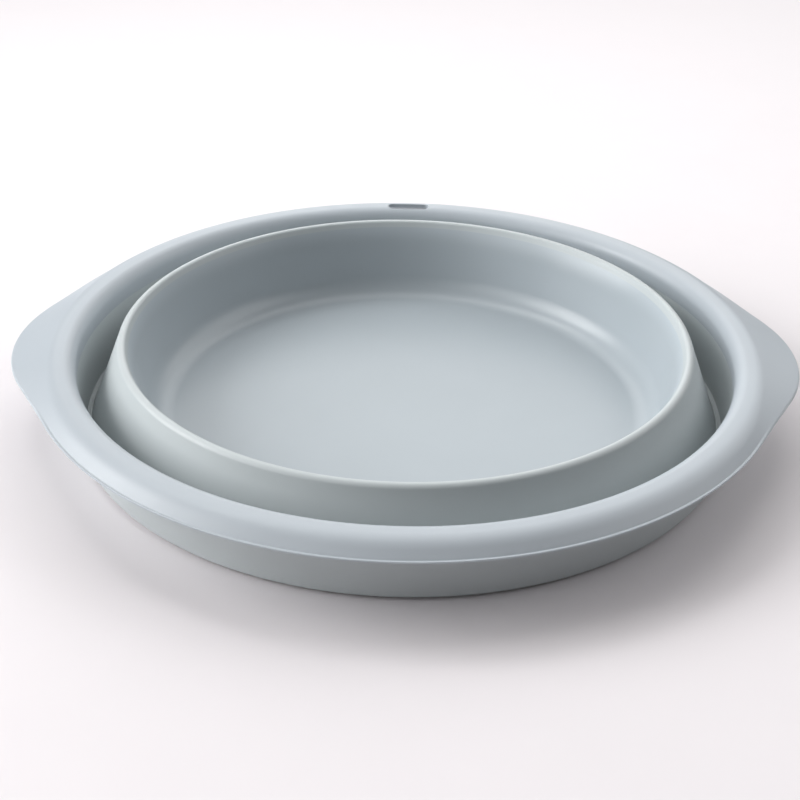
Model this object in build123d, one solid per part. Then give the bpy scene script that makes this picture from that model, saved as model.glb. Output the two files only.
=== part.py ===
from build123d import *
import os
from math import acos, atan2, cos, degrees, hypot, radians, sin, tan

# A round foot basin that folds flat. A stiff rim with two ear handles carries a soft sleeve;
# a soft band joins the foot of the sleeve to the lip of a stiff cup, which stands on four pads.
# Millimetres, drawn folded flat. Z is the basin's axis, X runs through both handles,
# the hanging slot is at +Y and the ground is at z = 0.
# Outlines of turned pieces are drawn as (radius, height).

# Rim: one thin skin from the inner flange, over the crest, to a crisp outer edge
RIM_SKIN = 2.4
RIM_INNER_R = 173.8
FLANGE_BOTTOM_Z = 31.0
ROLL_RADIUS = 6.7
ROLL_CENTRE_Z = 37.3
CREST_Z = ROLL_CENTRE_Z + ROLL_RADIUS
SHOULDER_CENTRE_R = 183.6
SHOULDER_RADIUS = 12.0
FLANK_SLOPE = 43.0
EDGE_R = 196.3
EDGE_TOP_Z = 37.7
EDGE_BOTTOM_Z = 36.7

# Ear handles: the skin runs straight from the shoulder out to a longer, lower and thicker edge
EAR_TIP_X = 209.5
EAR_TIP_RADIUS = 97.0
EAR_EDGE_Z = 36.2
EAR_THICKNESS = 3.2
EAR_ROUND = 1.0
EAR_FALL_ANGLES = (25.0, 10.0)
EAR_ANGLES = (-27, -22, -16, -10, -5, 0, 5, 10, 16, 22, 27)
EAR_END_ANGLE = 30.0
EAR_END = (194.6, 37.4)
EAR_SINK = 0.15

# Hanging slot through the crest at the back
SLOT_LENGTH = 26.0
SLOT_WIDTH = 6.6
SLOT_Y = 180.8

# Soft sleeve: a collar behind the rim's flange, a thin wall, and a rounded hem at the foot
COLLAR_TOP_Z = 36.2
COLLAR_OUTER_R = 178.2
WALL_INNER_TOP_R = 174.1
WALL_INNER_FOOT = (171.5, 6.0)
WALL_OUTER_WAIST = (176.7, 27.0)
HEM_OUTER_R = 174.0
HEM_INNER_R = 166.0
HEM_BOTTOM_Z = 2.1
HEM_TOP_Z = 5.0
HEM_ROUND = 0.8
CREASE_BEAD_R = 168.9
CREASE_BEAD_RADIUS = 0.7

# Soft lip over the cup's edge, rounded inside and out
LIP_TOP_R = 149.5
LIP_TOP_Z = 47.6
LIP_INNER_ROUND = 2.0
LIP_OUTER_ROUND = 3.0
LIP_HEEL = (149.0, 41.5)

# Soft folding band: it leaves the lip's outer round smoothly and lands on the hem
BAND_THICKNESS = 1.9
BAND_FOOT_R = 168.2

# Stiff cup: flat floor, curved corner, steep wall that leans out more from the knee to the mouth
CUP_SKIN = 2.4
FLOOR_TOP_Z = 4.0
CUP_CORNER_R = 135.75
CUP_CURVE = 15.0
CUP_DRAFT = 13.5
CUP_KNEE_Z = 38.0
CUP_KNEE_ROUND = 60.0
CUP_MOUTH_DRAFT = 24.0
CUP_EDGE_Z = 44.2

# Round pads let into the underside of the floor
PAD_RADIUS = 11.0
PAD_RECESS = 0.8
PAD_ROUND = 0.5
PAD_CIRCLE_R = 105.0
PAD_ANGLES = {
    "foot_pad_back_right": 45,
    "foot_pad_back_left": 135,
    "foot_pad_front_left": 225,
    "foot_pad_front_right": 315,
}


def on_circle(centre, radius, angle):
    return (centre[0] + radius * cos(radians(angle)), centre[1] + radius * sin(radians(angle)))


def arc(centre, radius, start, end):
    return ThreePointArc(*[on_circle(centre, radius, angle) for angle in (start, (start + end) / 2, end)])


def turned(section):
    """The solid swept by a (radius, height) section about the basin's axis."""
    return revolve(Plane.XZ * section, axis=Axis.Z)


def rim_face(depth, edge_z):
    """One side of the rim's skin: the line at a depth below the outside, ending at edge_z."""
    roll = arc((RIM_INNER_R + ROLL_RADIUS, ROLL_CENTRE_Z), ROLL_RADIUS - depth, 180, 90)
    shoulder_centre = (SHOULDER_CENTRE_R, CREST_Z - SHOULDER_RADIUS)
    shoulder = arc(shoulder_centre, SHOULDER_RADIUS - depth, 90, 90 - FLANK_SLOPE)
    flank_top = shoulder @ 1
    flank_foot_r = flank_top.X + (flank_top.Y - edge_z) / tan(radians(FLANK_SLOPE))
    return [
        Line((RIM_INNER_R + depth, FLANGE_BOTTOM_Z), roll @ 0),
        roll,
        Line(roll @ 1, shoulder @ 0),
        shoulder,
        Line(flank_top, (flank_foot_r, edge_z)),
    ]


def rim_ring():
    outside = rim_face(0, EDGE_TOP_Z)
    inside = rim_face(RIM_SKIN, EDGE_BOTTOM_Z)
    edge_top = (EDGE_R, EDGE_TOP_Z)
    edge_bottom = (EDGE_R, EDGE_BOTTOM_Z)
    edge = Polyline(outside[-1] @ 1, edge_top, edge_bottom, inside[-1] @ 1)
    flange_end = Line(outside[0] @ 0, inside[0] @ 0)
    return turned(make_face(outside + inside + [edge, flange_end]))


def ear_reach(angle):
    """How far the handle reaches: a round tip, then a straight line tangent to the ring's edge."""
    tip_x = EAR_TIP_X - EAR_TIP_RADIUS
    tangent = acos((EDGE_R - EAR_TIP_RADIUS) / tip_x)
    turn = radians(abs(angle))
    tip_r = tip_x * cos(turn) + (EAR_TIP_RADIUS**2 - (tip_x * sin(turn)) ** 2) ** 0.5
    on_tip = atan2(tip_r * sin(turn), tip_r * cos(turn) - tip_x) <= tangent
    return tip_r if on_tip else EDGE_R / cos(tangent - turn)


def ear_edge_z(angle):
    """The top of the handle's edge: low round the tip, easing up to the ring's edge."""
    share = (abs(angle) - EAR_FALL_ANGLES[1]) / (EAR_FALL_ANGLES[0] - EAR_FALL_ANGLES[1])
    share = min(max(share, 0), 1)
    return EAR_EDGE_Z + (EDGE_TOP_Z - EAR_EDGE_Z) * share * share * (3 - 2 * share)


def ear_section(angle, tip, thickness):
    """A four-cornered section whose top leaves the ring's shoulder smoothly and ends at tip."""
    centre = (SHOULDER_CENTRE_R, CREST_Z - SHOULDER_RADIUS)
    run, rise = tip[0] - centre[0], tip[1] - centre[1]
    root_angle = degrees(atan2(rise, run) + acos(SHOULDER_RADIUS / hypot(run, rise)))
    corners = [
        on_circle(centre, SHOULDER_RADIUS - EAR_SINK, root_angle),
        tip,
        (tip[0], tip[1] - thickness),
        on_circle(centre, SHOULDER_RADIUS - RIM_SKIN + EAR_SINK, root_angle),
    ]
    outward = (cos(radians(angle)), sin(radians(angle)), 0)
    sideways = (outward[1], -outward[0], 0)
    upright_plane = Plane(origin=(0, 0, 0), x_dir=outward, z_dir=sideways)
    return upright_plane * make_face(Polyline(*corners, close=True))


def ear():
    """The handle, drawn through sections that fan out about the axis and sink into the flank."""
    sections = [ear_section(-EAR_END_ANGLE, EAR_END, EAR_THICKNESS)]
    for angle in EAR_ANGLES:
        sections.append(ear_section(angle, (ear_reach(angle), ear_edge_z(angle)), EAR_THICKNESS))
    sections.append(ear_section(EAR_END_ANGLE, EAR_END, EAR_THICKNESS))
    blank = loft(sections)
    outline_edges = [edge for edge in blank.edges() if edge.bounding_box().max.X > EAR_TIP_X - 1]
    return fillet(outline_edges, EAR_ROUND)


def rim_frame():
    slot_plan = Pos(0, SLOT_Y, CREST_Z) * SlotOverall(SLOT_LENGTH, SLOT_WIDTH)
    slot = extrude(slot_plan, amount=ROLL_RADIUS, both=True)
    return rim_ring() + ear() + ear().mirror(Plane.YZ) - slot


def upper_wall():
    """The soft sleeve: its collar hugs the back of the flange and its hem ends in two rounds."""
    flange_outer_r = RIM_INNER_R + RIM_SKIN
    outer_round = arc((HEM_OUTER_R - HEM_ROUND, HEM_BOTTOM_Z + HEM_ROUND), HEM_ROUND, 0, -90)
    inner_round = arc((HEM_INNER_R + HEM_ROUND, HEM_BOTTOM_Z + HEM_ROUND), HEM_ROUND, 270, 180)
    bead = arc((CREASE_BEAD_R, HEM_TOP_Z), CREASE_BEAD_RADIUS, 180, 0)
    edges = [
        Polyline(
            WALL_INNER_FOOT,
            (WALL_INNER_TOP_R, FLANGE_BOTTOM_Z),
            (flange_outer_r, FLANGE_BOTTOM_Z),
            (flange_outer_r, COLLAR_TOP_Z),
            (COLLAR_OUTER_R, COLLAR_TOP_Z),
            (COLLAR_OUTER_R, FLANGE_BOTTOM_Z),
            WALL_OUTER_WAIST,
            outer_round @ 0,
        ),
        outer_round,
        Line(outer_round @ 1, inner_round @ 0),
        inner_round,
        Polyline(inner_round @ 1, (HEM_INNER_R, HEM_TOP_Z), bead @ 0),
        bead,
        Polyline(bead @ 1, (WALL_INNER_FOOT[0] - 1, HEM_TOP_Z), WALL_INNER_FOOT),
    ]
    return turned(make_face(edges))


def cup_face(depth):
    """One side of the cup's skin, depth below the inside: half the floor, the curve, the wall."""
    draft = radians(CUP_DRAFT)
    curve_r = CUP_CORNER_R + CUP_CURVE * tan(draft) - CUP_CURVE / cos(draft)
    curve = arc((curve_r, FLOOR_TOP_Z + CUP_CURVE), CUP_CURVE + depth, -90, -CUP_DRAFT)
    knee_reach = CUP_KNEE_ROUND * tan(radians(CUP_MOUTH_DRAFT - CUP_DRAFT) / 2)
    knee_start_r = CUP_CORNER_R + (CUP_KNEE_Z - FLOOR_TOP_Z) * tan(draft) - knee_reach * sin(draft)
    knee_start_z = CUP_KNEE_Z - knee_reach * cos(draft)
    knee_centre = on_circle((knee_start_r, knee_start_z), CUP_KNEE_ROUND, -CUP_DRAFT)
    knee = arc(knee_centre, CUP_KNEE_ROUND - depth, 180 - CUP_DRAFT, 180 - CUP_MOUTH_DRAFT)
    edge_r = (knee @ 1).X + (CUP_EDGE_Z - (knee @ 1).Y) * tan(radians(CUP_MOUTH_DRAFT))
    floor = Line((0, FLOOR_TOP_Z - depth), curve @ 0)
    return [floor, curve, Line(curve @ 1, knee @ 0), knee, Line(knee @ 1, (edge_r, CUP_EDGE_Z))]


def cup_section():
    inside = cup_face(0)
    outside = cup_face(CUP_SKIN)
    axis_line = Line(inside[0] @ 0, outside[0] @ 0)
    edge = Line(inside[-1] @ 1, outside[-1] @ 1)
    return make_face(inside + outside + [axis_line, edge])


def band_lean():
    """How far the band's outer face looks up from level, in degrees."""
    run = BAND_FOOT_R - LIP_TOP_R
    rise = LIP_TOP_Z - LIP_OUTER_ROUND - HEM_TOP_Z
    return degrees(acos(LIP_OUTER_ROUND / hypot(run, rise)) - atan2(rise, run))


def band_top():
    """The two corners where the band ends and the lip begins, outer face first."""
    centre = (LIP_TOP_R, LIP_TOP_Z - LIP_OUTER_ROUND)
    outer = on_circle(centre, LIP_OUTER_ROUND, band_lean())
    inner = on_circle(centre, LIP_OUTER_ROUND - BAND_THICKNESS, band_lean())
    return outer, inner


def lip_ring():
    """The fold that stays with the cup: it caps the cup's edge and is flush with its inside."""
    inner_centre = (LIP_TOP_R, LIP_TOP_Z - LIP_INNER_ROUND)
    outer_centre = (LIP_TOP_R, LIP_TOP_Z - LIP_OUTER_ROUND)
    inner_round = arc(inner_centre, LIP_INNER_ROUND, 180 - CUP_MOUTH_DRAFT, 90)
    outer_round = arc(outer_centre, LIP_OUTER_ROUND, 90, band_lean())
    cup_edge = cup_face(0)[-1] @ 1
    underside = Polyline(*band_top(), LIP_HEEL, cup_edge, inner_round @ 0)
    return turned(make_face([inner_round, outer_round, underside]) - cup_section())


def folding_band():
    """A plain cone of soft sheet between the hem's top and the lip."""
    outer_top, inner_top = band_top()
    foot_inner_r = BAND_FOOT_R - BAND_THICKNESS / cos(radians(band_lean()))
    corners = [outer_top, (BAND_FOOT_R, HEM_TOP_Z), (foot_inner_r, HEM_TOP_Z), inner_top]
    return turned(make_face(Polyline(*corners, close=True)))


def foot_pad(angle):
    x, y = on_circle((0, 0), PAD_CIRCLE_R, angle)
    height = FLOOR_TOP_Z - CUP_SKIN + PAD_RECESS
    pad = Pos(x, y, height / 2) * Cylinder(PAD_RADIUS, height)
    return fillet(pad.edges().sort_by(Axis.Z)[0], PAD_ROUND)


def base_cup():
    cup = turned(cup_section())
    for angle in PAD_ANGLES.values():
        cup = cup - foot_pad(angle)
    return cup


os.makedirs("parts", exist_ok=True)
export_step(rim_frame(), "parts/rim_frame.step")
export_step(upper_wall(), "parts/upper_wall.step")
export_step(folding_band(), "parts/folding_band.step")
export_step(lip_ring(), "parts/lip_ring.step")
export_step(base_cup(), "parts/base_cup.step")
for name, angle in PAD_ANGLES.items():
    export_step(foot_pad(angle), f"parts/{name}.step")
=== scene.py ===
from math import acos, atan2, cos, degrees, hypot, pi, radians, sin, sqrt, tan

import bmesh
import bpy
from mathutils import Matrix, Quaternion, Vector


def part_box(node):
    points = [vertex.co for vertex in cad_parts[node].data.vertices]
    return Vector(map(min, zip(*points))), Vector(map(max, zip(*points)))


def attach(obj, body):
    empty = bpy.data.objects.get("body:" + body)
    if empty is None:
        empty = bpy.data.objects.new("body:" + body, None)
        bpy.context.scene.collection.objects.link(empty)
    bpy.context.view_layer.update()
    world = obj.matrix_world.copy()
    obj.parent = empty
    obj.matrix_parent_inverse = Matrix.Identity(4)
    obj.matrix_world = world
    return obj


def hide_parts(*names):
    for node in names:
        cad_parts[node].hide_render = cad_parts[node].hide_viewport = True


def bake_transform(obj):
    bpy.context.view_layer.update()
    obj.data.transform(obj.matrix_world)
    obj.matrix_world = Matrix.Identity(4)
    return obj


# A round foot basin, folded flat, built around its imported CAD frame.
# Outlines of turned pieces are (radius, height) points in millimetres; meshes are in metres.
MM = 0.001
COLUMNS = 480
PAD_COLUMNS = 64
SMOOTH_ANGLE = 32

# Rim skin
RIM_SKIN = 2.4
RIM_INNER_R = 173.8
FLANGE_BOTTOM_Z = 31.0
FLANGE_ROUND = 0.25
ROLL_RADIUS = 6.7
CREST_Z = 44.0
SHOULDER_R = 183.6
SHOULDER_RADIUS = 12.0
SHOULDER_UNDER_ROUND = 4.0
EDGE_R = 196.3
EDGE_TOP_Z = 37.7
EDGE_THICKNESS = 1.0
EDGE_ROUND = 0.25

# Ear handles: the skin runs straight from the shoulder out to a longer, lower and thicker edge
EAR_TIP_X = 209.5
EAR_TIP_RADIUS = 97.0
EAR_EDGE_Z = 36.2
EAR_THICKNESS = 3.2
EAR_ROUND = 1.3
EAR_STEP_ANGLES = (33.0, 19.0)
EAR_FALL_ANGLES = (25.0, 10.0)
LEDGE_WIDTH = 1.2
LEDGE_UNDER_WIDTH = 3.66
# Extra rows of points this far either side of the ledge corner keep its shading local
CORNER_HOLD = 0.25

# Hanging slot
SLOT_LENGTH = 26.0
SLOT_WIDTH = 6.6
SLOT_Y = 180.8
# The cutter reaches this far above and below the crest
SLOT_CUT_REACH = 8

# Soft sleeve: a collar behind the rim's flange, a thin wall, and a hem with a crease bead
# WALL_INNER_TOP is (radius, height, round)
WALL_INNER_TOP = (173.9, 31.0, 0.1)
COLLAR_INNER_R = 176.2
COLLAR_OUTER_R = 178.2
COLLAR_TOP_Z = 36.2
WALL_OUTER_WAIST = (176.7, 27.0)
HEM_OUTER_R = 174.0
HEM_INNER_R = 166.0
HEM_BOTTOM_Z = 2.1
HEM_TOP_Z = 5.0
HEM_ROUND = 0.8
CHANNEL_CORNER_R = 171.0
CREASE_BEAD_R = 168.9
CREASE_BEAD_RADIUS = 0.7
BEAD_OUTER_R = 169.6

# Cup, lip and folding band
CUP_SKIN = 2.4
CUP_FLOOR_Z = 4.0
CUP_MIDDLE_R = 60.0
CUP_CORNER_R = 135.75
CUP_CURVE = 15.0
CUP_DRAFT = 13.5
CUP_KNEE_Z = 38.0
CUP_KNEE_ROUND = 60.0
CUP_MOUTH_DRAFT = 24.0
CUP_EDGE_Z = 44.2
LIP_TOP_R = 149.5
LIP_TOP_Z = 47.6
LIP_INNER_ROUND = 2.0
LIP_OUTER_ROUND = 3.0
LIP_HEEL = (149.0, 41.5)
LIP_SEAT_DEPTH = 1
BAND_THICKNESS = 1.9
BAND_FOOT_R = 168.2
BAND_ROWS = 44

# Softboxes: name, azimuth, height angle, distance (m), side (m), power (W); azimuth 0 is behind
SOFTBOXES = [
    ("side_left", -90, 25, 2.7, 1.8, 62),
    ("side_left_high", -80, 40, 2.7, 1.5, 18),
    ("key_back_left", -40, 57, 2.7, 0.6, 8),
    ("overhead_back", 0, 65, 3.0, 2.1, 25),
    ("back", 0, 25, 3.0, 2.1, 26),
    ("back_right", 45, 35, 2.7, 1.8, 17),
    ("side_right", 90, 35, 2.7, 1.8, 20),
    ("front_left", -130, 30, 2.7, 1.8, 16),
]
WORLD_STRENGTH = 0.02
BACKDROP_COLOUR = (0.885, 0.85, 0.865, 1.0)
FLOOR_HALF = 4.0
# Distances (m) from the axis between which the camera sees the floor fade into the backdrop
FLOOR_FADE = (0.3, 1.3)

# Camera: lens and sensor (mm), place (m), and how it is turned (degrees)
CAMERA_LENS = 67.5
CAMERA_SENSOR = 36
CAMERA_PLACE = (0, -0.71335, 0.41277)
CAMERA_DOWN = 29.78
CAMERA_YAW = -0.19
CAMERA_ROLL = 1.15

# Pads
PAD_RADIUS = 11.0
PAD_MIDDLE_R = 1.5
PAD_TOP_Z = 2.4
PAD_ROUND = 0.5

# Height at which the soft moulding and the cup start to get a painted glow towards the lip: light let
# in through the thin edge, painted as brighter colour
PAINTED_GLOW_FROM_Z = 35.0

# Surfaces: colours, how many cloudy patches and gloss patches there are per metre, and plastic's IOR
RIM_COLOUR = (0.43, 0.472, 0.51)
CUP_COLOUR = (0.385, 0.43, 0.46)
SOFT_COLOUR = (0.475, 0.515, 0.525)
PAD_COLOUR = (0.36, 0.40, 0.41)
FLOOR_COLOUR = (0.79, 0.755, 0.772)
CLOUD_SCALE = 14
SMEAR_SCALE = 45
PLASTIC_IOR = 1.49


def on_circle(centre, radius, angle):
    return (centre[0] + radius * cos(radians(angle)), centre[1] + radius * sin(radians(angle)))


def arc(centre, radius, start, end, steps):
    return [on_circle(centre, radius, start + (end - start) * i / steps) for i in range(steps + 1)]


def between(a, b, share):
    return a + (b - a) * share


def eased(share):
    share = min(max(share, 0.0), 1.0)
    return share * share * (3 - 2 * share)


def rounded(corners, steps=8, closed=True):
    """Points along a chain of (radius, height, round) corners, each corner cut by its own arc."""
    points = []
    count = len(corners)
    for i, (r, z, size) in enumerate(corners):
        at_end = not closed and i in (0, count - 1)
        if size == 0 or at_end:
            points.append((r, z))
            continue
        here = Vector((r, z))
        back = (Vector(corners[i - 1][:2]) - here).normalized()
        ahead = (Vector(corners[(i + 1) % count][:2]) - here).normalized()
        half = back.angle(ahead) / 2
        centre = here + (back + ahead).normalized() * size / sin(half)
        first = here + back * size / tan(half)
        start = first - centre
        turn = (pi - 2 * half) * (1 if back.x * ahead.y - back.y * ahead.x < 0 else -1)
        for step in range(steps + 1):
            a = turn * step / steps
            points.append((
                centre.x + start.x * cos(a) - start.y * sin(a),
                centre.y + start.x * sin(a) + start.y * cos(a),
            ))
    return points


def straight(start, end, steps):
    """Points from start up to, not including, end."""
    return [
        (between(start[0], end[0], i / steps), between(start[1], end[1], i / steps))
        for i in range(steps)
    ]


def finished(name, bm):
    """A smooth-shaded object whose real corners stay crisp."""
    mesh = bpy.data.meshes.new(name)
    bmesh.ops.recalc_face_normals(bm, faces=bm.faces)
    bm.to_mesh(mesh)
    bm.free()
    mesh.shade_smooth()
    mesh.set_sharp_from_angle(angle=radians(SMOOTH_ANGLE))
    obj = bpy.data.objects.new(name, mesh)
    bpy.context.scene.collection.objects.link(obj)
    return obj


def joined_loops(loops, closed=True):
    """Skins a ring of same-length (x, y, z) loops with four-sided faces."""
    bm = bmesh.new()
    grid = [[bm.verts.new(Vector(point) * MM) for point in loop] for loop in loops]
    count = len(grid[0])
    last = count if closed else count - 1
    for i, column in enumerate(grid):
        following = grid[(i + 1) % len(grid)]
        for j in range(last):
            k = (j + 1) % count
            bm.faces.new((column[j], following[j], following[k], column[k]))
    return bm, grid


def spun(points, angle):
    return [(r * cos(angle), r * sin(angle), z) for r, z in points]


def turned(name, outline, columns=COLUMNS):
    """A closed outline swept about the axis."""
    loops = [spun(outline, 2 * pi * i / columns) for i in range(columns)]
    return finished(name, joined_loops(loops)[0])


def turned_disc(name, outline, columns=COLUMNS, centre=(0, 0)):
    """An open outline swept about the axis, with its two ends drawn in to the middle."""
    loops = [spun(outline, 2 * pi * i / columns) for i in range(columns)]
    bm, grid = joined_loops(loops, closed=False)
    for row in (0, -1):
        middle = bm.verts.new((0, 0, outline[row][1] * MM))
        for i, column in enumerate(grid):
            bm.faces.new((column[row], grid[(i + 1) % columns][row], middle))
    bmesh.ops.translate(bm, verts=bm.verts, vec=(centre[0], centre[1], 0))
    return finished(name, bm)


# ---------------------------------------------------------------- rim and ears


def edge_reach(angle):
    """How far the outline reaches at an angle from the ear's middle: ring, straight tangent or tip."""
    tip_x = EAR_TIP_X - EAR_TIP_RADIUS
    tangent = degrees(acos((EDGE_R - EAR_TIP_RADIUS) / tip_x))
    if angle >= tangent:
        return EDGE_R
    straight_r = EDGE_R / cos(radians(tangent - angle))
    a = radians(angle)
    tip_r = tip_x * cos(a) + sqrt(EAR_TIP_RADIUS**2 - (tip_x * sin(a)) ** 2)
    on_tip = degrees(atan2(tip_r * sin(a), tip_r * cos(a) - tip_x)) <= tangent
    return tip_r if on_tip else straight_r


def slope_from_shoulder(r, z):
    """Slope in degrees of the line that leaves the shoulder's arc smoothly and passes (r, z)."""
    run = r - SHOULDER_R
    rise = z - (CREST_Z - SHOULDER_RADIUS)
    return 90 - degrees(atan2(rise, run) + acos(SHOULDER_RADIUS / hypot(run, rise)))


def rim_loop(turn):
    """The rim's closed section in the half-plane at an angle, as (x, y, z) points."""
    from_ear = abs((degrees(turn) + 90) % 180 - 90)
    step = eased((EAR_STEP_ANGLES[0] - from_ear) / (EAR_STEP_ANGLES[0] - EAR_STEP_ANGLES[1]))
    drop = eased((EAR_FALL_ANGLES[0] - from_ear) / (EAR_FALL_ANGLES[0] - EAR_FALL_ANGLES[1]))
    reach = edge_reach(from_ear)
    edge_z = between(EDGE_TOP_Z, EAR_EDGE_Z, drop)
    edge_round = between(EDGE_ROUND, EAR_ROUND, step)
    bottom_z = edge_z - between(EDGE_THICKNESS, EAR_THICKNESS, step)
    rise = tan(radians(slope_from_shoulder(reach, edge_z)))
    ledge_z = edge_z + LEDGE_WIDTH * rise * step
    under_z = bottom_z + LEDGE_UNDER_WIDTH * rise * step
    ledge_r = reach - LEDGE_WIDTH
    slope = slope_from_shoulder(ledge_r, ledge_z)
    under_shoulder_r = SHOULDER_R + (SHOULDER_RADIUS - RIM_SKIN) * tan(radians(slope / 2))
    return spun(rounded([
        (RIM_INNER_R + RIM_SKIN, CREST_Z - RIM_SKIN, ROLL_RADIUS - RIM_SKIN),
        (RIM_INNER_R + RIM_SKIN, FLANGE_BOTTOM_Z, FLANGE_ROUND),
        (RIM_INNER_R, FLANGE_BOTTOM_Z, FLANGE_ROUND),
        (RIM_INNER_R, CREST_Z, ROLL_RADIUS),
        (SHOULDER_R + SHOULDER_RADIUS * tan(radians(slope / 2)), CREST_Z, SHOULDER_RADIUS),
        (ledge_r - CORNER_HOLD * cos(radians(slope)), ledge_z + CORNER_HOLD * sin(radians(slope)), 0),
        (ledge_r, ledge_z, 0),
        (ledge_r + CORNER_HOLD, between(ledge_z, edge_z, CORNER_HOLD / LEDGE_WIDTH), 0),
        (reach, edge_z, edge_round),
        (reach, bottom_z, edge_round),
        (reach - LEDGE_UNDER_WIDTH, under_z, 0),
        (under_shoulder_r, CREST_Z - RIM_SKIN, SHOULDER_UNDER_ROUND),
    ], steps=12), turn)


def slot_cutter():
    """A straight-sided plug with round ends."""
    half = (SLOT_LENGTH - SLOT_WIDTH) / 2
    ends = arc((half, SLOT_Y), SLOT_WIDTH / 2, -90, 90, 16)
    ends += arc((-half, SLOT_Y), SLOT_WIDTH / 2, 90, 270, 16)
    bm = bmesh.new()
    low = [bm.verts.new((x * MM, y * MM, (CREST_Z - SLOT_CUT_REACH) * MM)) for x, y in ends]
    high = [bm.verts.new((x * MM, y * MM, (CREST_Z + SLOT_CUT_REACH) * MM)) for x, y in ends]
    bm.faces.new(low)
    bm.faces.new(high)
    for i in range(len(ends)):
        k = (i + 1) % len(ends)
        bm.faces.new((low[i], low[k], high[k], high[i]))
    return finished("slot_cutter", bm)


def cut_through(obj, cutter):
    """Takes the cutter out of obj for good, then removes the cutter."""
    modifier = obj.modifiers.new("cut", "BOOLEAN")
    modifier.operation = "DIFFERENCE"
    modifier.solver = "EXACT"
    modifier.object = cutter
    evaluated = obj.evaluated_get(bpy.context.evaluated_depsgraph_get())
    mesh = bpy.data.meshes.new_from_object(evaluated)
    obj.modifiers.clear()
    obj.data = mesh
    mesh.shade_smooth()
    mesh.set_sharp_from_angle(angle=radians(SMOOTH_ANGLE))
    bpy.data.objects.remove(cutter)


def make_rim():
    loops = [rim_loop(2 * pi * (i + 0.5) / COLUMNS) for i in range(COLUMNS)]
    rim = finished("rim_skin", joined_loops(loops)[0])
    cut_through(rim, slot_cutter())
    return rim


# ---------------------------------------------------------------- soft moulding and cup


def make_sleeve():
    """The collar, wall and hem, with a raised bead where the band folds out of the hem."""
    bead_arc = arc((CREASE_BEAD_R, HEM_TOP_Z), CREASE_BEAD_RADIUS, 150, 30, 8)
    corners = [
        WALL_INNER_TOP,
        (COLLAR_INNER_R, FLANGE_BOTTOM_Z, 0.0),
        (COLLAR_INNER_R, COLLAR_TOP_Z, 0.3),
        (COLLAR_OUTER_R, COLLAR_TOP_Z, 0.8),
        (COLLAR_OUTER_R, FLANGE_BOTTOM_Z, 2.5),
        (*WALL_OUTER_WAIST, 4.0),
        (HEM_OUTER_R, HEM_BOTTOM_Z, HEM_ROUND),
        (HEM_INNER_R, HEM_BOTTOM_Z, HEM_ROUND),
        (HEM_INNER_R, HEM_TOP_Z, 0.3),
        (BAND_FOOT_R, HEM_TOP_Z, 0.0),
        *[(*point, 0.0) for point in bead_arc],
        (BEAD_OUTER_R, HEM_TOP_Z, 0.0),
        (CHANNEL_CORNER_R, HEM_TOP_Z, 0.0),
    ]
    return turned("sleeve", rounded(corners))


def band_lean():
    run = BAND_FOOT_R - LIP_TOP_R
    rise = LIP_TOP_Z - LIP_OUTER_ROUND - HEM_TOP_Z
    return degrees(acos(LIP_OUTER_ROUND / hypot(run, rise)) - atan2(rise, run))


def cup_knee():
    """Where the cup's steep wall would meet its wider mouth: (radius, height) on the inside."""
    return (CUP_CORNER_R + (CUP_KNEE_Z - CUP_FLOOR_Z) * tan(radians(CUP_DRAFT)), CUP_KNEE_Z)


def cup_edge_r():
    return cup_knee()[0] + (CUP_EDGE_Z - CUP_KNEE_Z) * tan(radians(CUP_MOUTH_DRAFT))


def make_lip():
    outer_centre = (LIP_TOP_R, LIP_TOP_Z - LIP_OUTER_ROUND)
    inner_centre = (LIP_TOP_R, LIP_TOP_Z - LIP_INNER_ROUND)
    outline = arc(inner_centre, LIP_INNER_ROUND, 180 - CUP_MOUTH_DRAFT, 90, 14)
    outline += arc(outer_centre, LIP_OUTER_ROUND, 90, band_lean(), 12)[1:]
    outline.append(on_circle(outer_centre, LIP_OUTER_ROUND - BAND_THICKNESS, band_lean()))
    outline.append(LIP_HEEL)
    outline.append((cup_edge_r() + CUP_SKIN / 2, CUP_EDGE_Z - LIP_SEAT_DEPTH))
    outline.append((cup_edge_r(), CUP_EDGE_Z))
    return turned("soft_lip", outline)


def make_band():
    centre = (LIP_TOP_R, LIP_TOP_Z - LIP_OUTER_ROUND)
    outer_top = on_circle(centre, LIP_OUTER_ROUND, band_lean())
    inner_top = on_circle(centre, LIP_OUTER_ROUND - BAND_THICKNESS, band_lean())
    outer_foot = (BAND_FOOT_R, HEM_TOP_Z)
    inner_foot = (BAND_FOOT_R - BAND_THICKNESS / cos(radians(band_lean())), HEM_TOP_Z)
    outline = straight(outer_top, outer_foot, BAND_ROWS)
    outline += straight(outer_foot, inner_foot, 2)
    outline += straight(inner_foot, inner_top, BAND_ROWS)
    outline += straight(inner_top, outer_top, 2)
    return turned("fold_band", outline)


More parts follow.
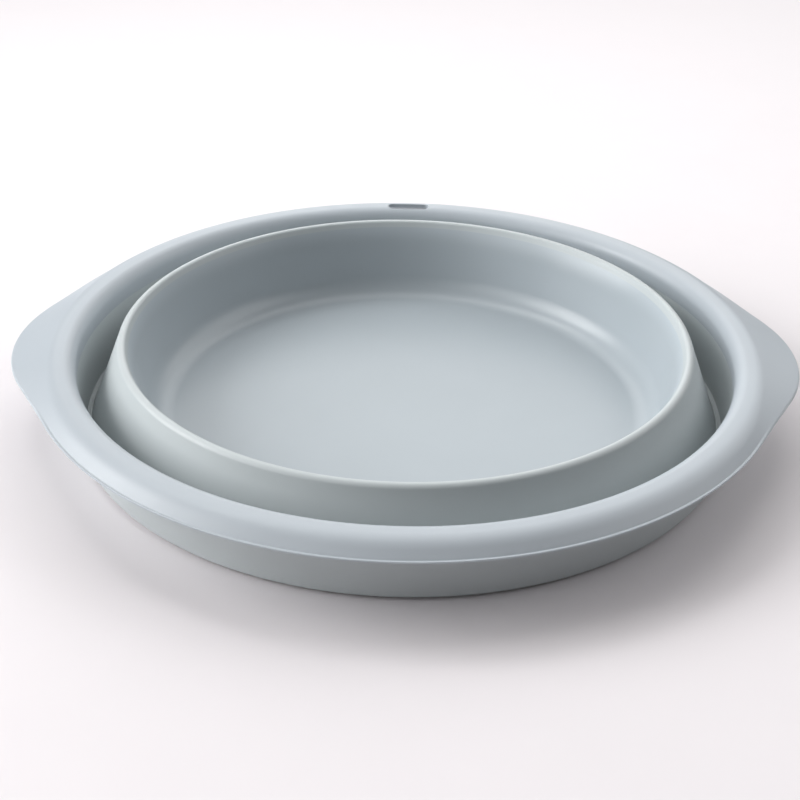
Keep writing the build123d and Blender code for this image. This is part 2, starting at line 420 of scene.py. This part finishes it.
def make_cup():
    knee_r, knee_z = cup_knee()
    half_turn = radians(CUP_DRAFT + CUP_MOUTH_DRAFT) / 2
    depth_r = CUP_SKIN / cos(radians(CUP_MOUTH_DRAFT))
    foot_r = CUP_CORNER_R + CUP_SKIN / cos(radians(CUP_DRAFT)) - CUP_SKIN * tan(radians(CUP_DRAFT))
    outer_knee = (knee_r + CUP_SKIN * cos(half_turn), knee_z - CUP_SKIN * sin(half_turn))
    corners = [
        (CUP_MIDDLE_R, CUP_FLOOR_Z, 0.0),
        (CUP_CORNER_R, CUP_FLOOR_Z, CUP_CURVE),
        (knee_r, knee_z, CUP_KNEE_ROUND),
        (cup_edge_r(), CUP_EDGE_Z, 0.15),
        (cup_edge_r() + depth_r, CUP_EDGE_Z, 0.6),
        (*outer_knee, CUP_KNEE_ROUND - CUP_SKIN),
        (foot_r, CUP_FLOOR_Z - CUP_SKIN, CUP_CURVE + CUP_SKIN),
        (CUP_MIDDLE_R, CUP_FLOOR_Z - CUP_SKIN, 0.0),
    ]
    return turned_disc("cup_shell", rounded(corners, steps=24, closed=False))


def make_pad(node):
    low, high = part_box(node)
    middle = (low + high) / 2
    corners = [
        (PAD_MIDDLE_R, PAD_TOP_Z, 0.0),
        (PAD_RADIUS, PAD_TOP_Z, 0.2),
        (PAD_RADIUS, 0.0, PAD_ROUND),
        (PAD_MIDDLE_R, 0.0, 0.0),
    ]
    return turned_disc("grip_" + node, rounded(corners, steps=5, closed=False), PAD_COLUMNS, middle)


# ---------------------------------------------------------------- materials


def noise(nodes, links, place, scale, detail, roughness=0.5):
    texture = nodes.new("ShaderNodeTexNoise")
    texture.inputs["Scale"].default_value = scale
    texture.inputs["Detail"].default_value = detail
    texture.inputs["Roughness"].default_value = roughness
    links.new(place.outputs["Object"], texture.inputs["Vector"])
    return texture


def ranged(nodes, links, source, low, high):
    """Stretches the middle of a noise's range over low to high."""
    mapping = nodes.new("ShaderNodeMapRange")
    mapping.inputs["From Min"].default_value = 0.3
    mapping.inputs["From Max"].default_value = 0.7
    mapping.inputs["To Min"].default_value = low
    mapping.inputs["To Max"].default_value = high
    links.new(source, mapping.inputs["Value"])
    return mapping.outputs["Result"]


def painted_lip_glow(nodes, links, place, colour, gain):
    """Painted glow: brightens a colour towards the lip's height, painting in the light that a thin
    edge lets through.
    """
    height = nodes.new("ShaderNodeSeparateXYZ")
    links.new(place.outputs["Object"], height.inputs["Vector"])
    rise = nodes.new("ShaderNodeMapRange")
    rise.interpolation_type = "SMOOTHSTEP"
    rise.inputs["From Min"].default_value = PAINTED_GLOW_FROM_Z * MM
    rise.inputs["From Max"].default_value = LIP_TOP_Z * MM
    rise.inputs["To Min"].default_value = 1.0
    rise.inputs["To Max"].default_value = gain
    links.new(height.outputs["Z"], rise.inputs["Value"])
    brighter = nodes.new("ShaderNodeVectorMath")
    brighter.operation = "SCALE"
    links.new(colour, brighter.inputs[0])
    links.new(rise.outputs["Result"], brighter.inputs["Scale"])
    return brighter.outputs["Vector"]


def moulded(name, colour, mottle, gloss, grain_size, grain_depth, specular=0.5, painted_glow=1.0):
    """Moulded plastic or rubber: faint cloudy colour, uneven gloss and a fine skin grain.

    gloss is the (lowest, highest) roughness; grain size and depth are in millimetres;
    The last argument is how much brighter the colour is painted at the lip's height: a painted glow
    for light let in through the thin edge.
    """
    material = bpy.data.materials.new(name)
    material.use_nodes = True
    nodes = material.node_tree.nodes
    links = material.node_tree.links
    shader = nodes["Principled BSDF"]
    place = nodes.new("ShaderNodeTexCoord")
    cloud = noise(nodes, links, place, CLOUD_SCALE, 3)
    blend = nodes.new("ShaderNodeMix")
    blend.data_type = "RGBA"
    blend.inputs["A"].default_value = (*[part * (1 - mottle) for part in colour], 1)
    blend.inputs["B"].default_value = (*[part * (1 + mottle) for part in colour], 1)
    links.new(ranged(nodes, links, cloud.outputs["Fac"], 0, 1), blend.inputs["Factor"])
    # Base colour with a painted glow towards the lip: light let in through the thin edge, painted as
    # brighter colour
    links.new(painted_lip_glow(nodes, links, place, blend.outputs["Result"], painted_glow), shader.inputs["Base Color"])
    smear = noise(nodes, links, place, SMEAR_SCALE, 4, 0.6)
    links.new(ranged(nodes, links, smear.outputs["Fac"], *gloss), shader.inputs["Roughness"])
    grain = noise(nodes, links, place, 1 / (grain_size * MM), 2)
    bump = nodes.new("ShaderNodeBump")
    bump.inputs["Strength"].default_value = 1.0
    bump.inputs["Distance"].default_value = grain_depth * MM
    links.new(grain.outputs["Fac"], bump.inputs["Height"])
    links.new(bump.outputs["Normal"], shader.inputs["Normal"])
    shader.inputs["IOR"].default_value = PLASTIC_IOR
    shader.inputs["Specular IOR Level"].default_value = specular
    return material


def rim_plastic():
    return moulded(
        "moulded_rim_plastic", RIM_COLOUR,
        mottle=0.015, gloss=(0.36, 0.44), grain_size=0.8, grain_depth=0.003,
    )


def cup_plastic():
    # Painted glow: the cup's colour is painted 1.2 times brighter towards the lip, for light let in
    # through its edge
    return moulded(
        "moulded_cup_plastic", CUP_COLOUR,
        mottle=0.015, gloss=(0.285, 0.34), grain_size=1.2, grain_depth=0.004, painted_glow=1.2,
    )


def soft_wall():
    # Painted glow: the soft wall's colour is painted slightly brighter towards the lip's height, for
    # light let in through the thin edge
    return moulded(
        "moulded_soft_wall", SOFT_COLOUR,
        mottle=0.02, gloss=(0.42, 0.52), grain_size=0.5, grain_depth=0.008, painted_glow=1.05,
    )


def soft_lip():
    # Painted glow: the lip's colour is painted slightly brighter towards its top, for light let in
    # through the thin edge
    return moulded(
        "moulded_soft_lip", SOFT_COLOUR,
        mottle=0.02, gloss=(0.38, 0.47), grain_size=0.5, grain_depth=0.006, painted_glow=1.05,
    )


def pad_rubber():
    return moulded(
        "moulded_pad_rubber", PAD_COLOUR,
        mottle=0.04, gloss=(0.6, 0.75), grain_size=0.4, grain_depth=0.03,
    )


def floor_surface():
    """A light-coloured matte floor that the camera sees fading into the backdrop far from the basin.
    """
    material = moulded(
        "floor_surface", FLOOR_COLOUR,
        mottle=0.006, gloss=(0.55, 0.7), grain_size=2.0, grain_depth=0.01, specular=0.3,
    )
    nodes = material.node_tree.nodes
    links = material.node_tree.links
    place = nodes.new("ShaderNodeNewGeometry")
    distance = nodes.new("ShaderNodeVectorMath")
    distance.operation = "LENGTH"
    links.new(place.outputs["Position"], distance.inputs[0])
    fade = nodes.new("ShaderNodeMapRange")
    fade.interpolation_type = "SMOOTHSTEP"
    fade.inputs["From Min"].default_value = FLOOR_FADE[0]
    fade.inputs["From Max"].default_value = FLOOR_FADE[1]
    links.new(distance.outputs["Value"], fade.inputs["Value"])
    seen_by = nodes.new("ShaderNodeLightPath")
    share = nodes.new("ShaderNodeMath")
    share.operation = "MULTIPLY"
    links.new(fade.outputs["Result"], share.inputs[0])
    links.new(seen_by.outputs["Is Camera Ray"], share.inputs[1])
    backdrop = nodes.new("ShaderNodeEmission")
    backdrop.inputs["Color"].default_value = BACKDROP_COLOUR
    blend = nodes.new("ShaderNodeMixShader")
    links.new(share.outputs["Value"], blend.inputs["Fac"])
    links.new(nodes["Principled BSDF"].outputs["BSDF"], blend.inputs[1])
    links.new(backdrop.outputs["Emission"], blend.inputs[2])
    links.new(blend.outputs["Shader"], nodes["Material Output"].inputs["Surface"])
    return material


# ---------------------------------------------------------------- stage


def make_floor():
    bm = bmesh.new()
    bmesh.ops.create_grid(bm, x_segments=8, y_segments=8, size=FLOOR_HALF)
    floor = finished("studio_floor", bm)
    floor.data.materials.append(floor_surface())


def around(azimuth, height_angle, distance):
    """A point round the basin: azimuth 0 is behind it and 90 to its right."""
    side = radians(azimuth)
    up = radians(height_angle)
    return Vector((sin(side) * cos(up), cos(side) * cos(up), sin(up))) * distance


def add_softbox(name, place, size, power):
    light = bpy.data.lights.new(name, "AREA")
    light.shape = "SQUARE"
    light.size = size
    light.energy = power
    lamp = bpy.data.objects.new(name, light)
    lamp.location = place
    lamp.rotation_euler = (-place).to_track_quat("-Z", "Y").to_euler()
    bpy.context.scene.collection.objects.link(lamp)


def make_lights():
    for name, azimuth, height_angle, distance, size, power in SOFTBOXES:
        add_softbox(name, around(azimuth, height_angle, distance), size, power)
    bpy.context.scene.world = studio_world()


def studio_world():
    """A light-coloured backdrop for the camera that gives almost no light of its own."""
    world = bpy.data.worlds.new("studio")
    world.use_nodes = True
    nodes = world.node_tree.nodes
    links = world.node_tree.links
    background = nodes["Background"]
    background.inputs["Color"].default_value = BACKDROP_COLOUR
    seen_by = nodes.new("ShaderNodeLightPath")
    strength = nodes.new("ShaderNodeMapRange")
    strength.inputs["To Min"].default_value = WORLD_STRENGTH
    strength.inputs["To Max"].default_value = 1.0
    links.new(seen_by.outputs["Is Camera Ray"], strength.inputs["Value"])
    links.new(strength.outputs["Result"], background.inputs["Strength"])
    return world


def make_camera():
    camera = bpy.data.cameras.new("camera")
    camera.lens = CAMERA_LENS
    camera.sensor_width = CAMERA_SENSOR
    holder = bpy.data.objects.new("camera", camera)
    down = radians(CAMERA_DOWN)
    yaw = radians(CAMERA_YAW)
    roll = radians(CAMERA_ROLL)
    ahead = Vector((sin(yaw) * cos(down), cos(yaw) * cos(down), -sin(down)))
    holder.location = CAMERA_PLACE
    holder.rotation_mode = "QUATERNION"
    holder.rotation_quaternion = ahead.to_track_quat("-Z", "Y") @ Quaternion((0, 0, 1), roll)
    bpy.context.scene.collection.objects.link(holder)
    bpy.context.scene.camera = holder


# ---------------------------------------------------------------- assembly

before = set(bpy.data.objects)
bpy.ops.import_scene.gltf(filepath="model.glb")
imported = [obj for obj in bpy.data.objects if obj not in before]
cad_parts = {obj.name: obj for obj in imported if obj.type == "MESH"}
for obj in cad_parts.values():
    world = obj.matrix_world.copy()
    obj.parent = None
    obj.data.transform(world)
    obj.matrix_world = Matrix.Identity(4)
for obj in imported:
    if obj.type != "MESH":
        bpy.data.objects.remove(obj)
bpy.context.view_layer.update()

soft = soft_wall()
grip = pad_rubber()
pieces = [
    (make_rim(), "rim_frame", "rim", rim_plastic(), "rim_plastic"),
    (make_sleeve(), "upper_wall", "rim", soft, "soft_wall"),
    (make_lip(), "lip_ring", "base", soft_lip(), "soft_lip"),
    (make_cup(), "base_cup", "base", cup_plastic(), "cup_plastic"),
]
for node in sorted(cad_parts):
    if node.startswith("foot_pad"):
        pieces.append((make_pad(node), node, "base", grip, "pad_rubber"))
for piece, node, body, material, slot in pieces:
    piece.data.materials.clear()
    piece.data.materials.append(material)
    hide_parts(node)
    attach(piece, body)

band = make_band()
band.data.materials.append(soft)
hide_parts("folding_band")
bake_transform(band)

make_floor()
make_lights()
make_camera()
bpy.context.scene.view_settings.view_transform = "Standard"
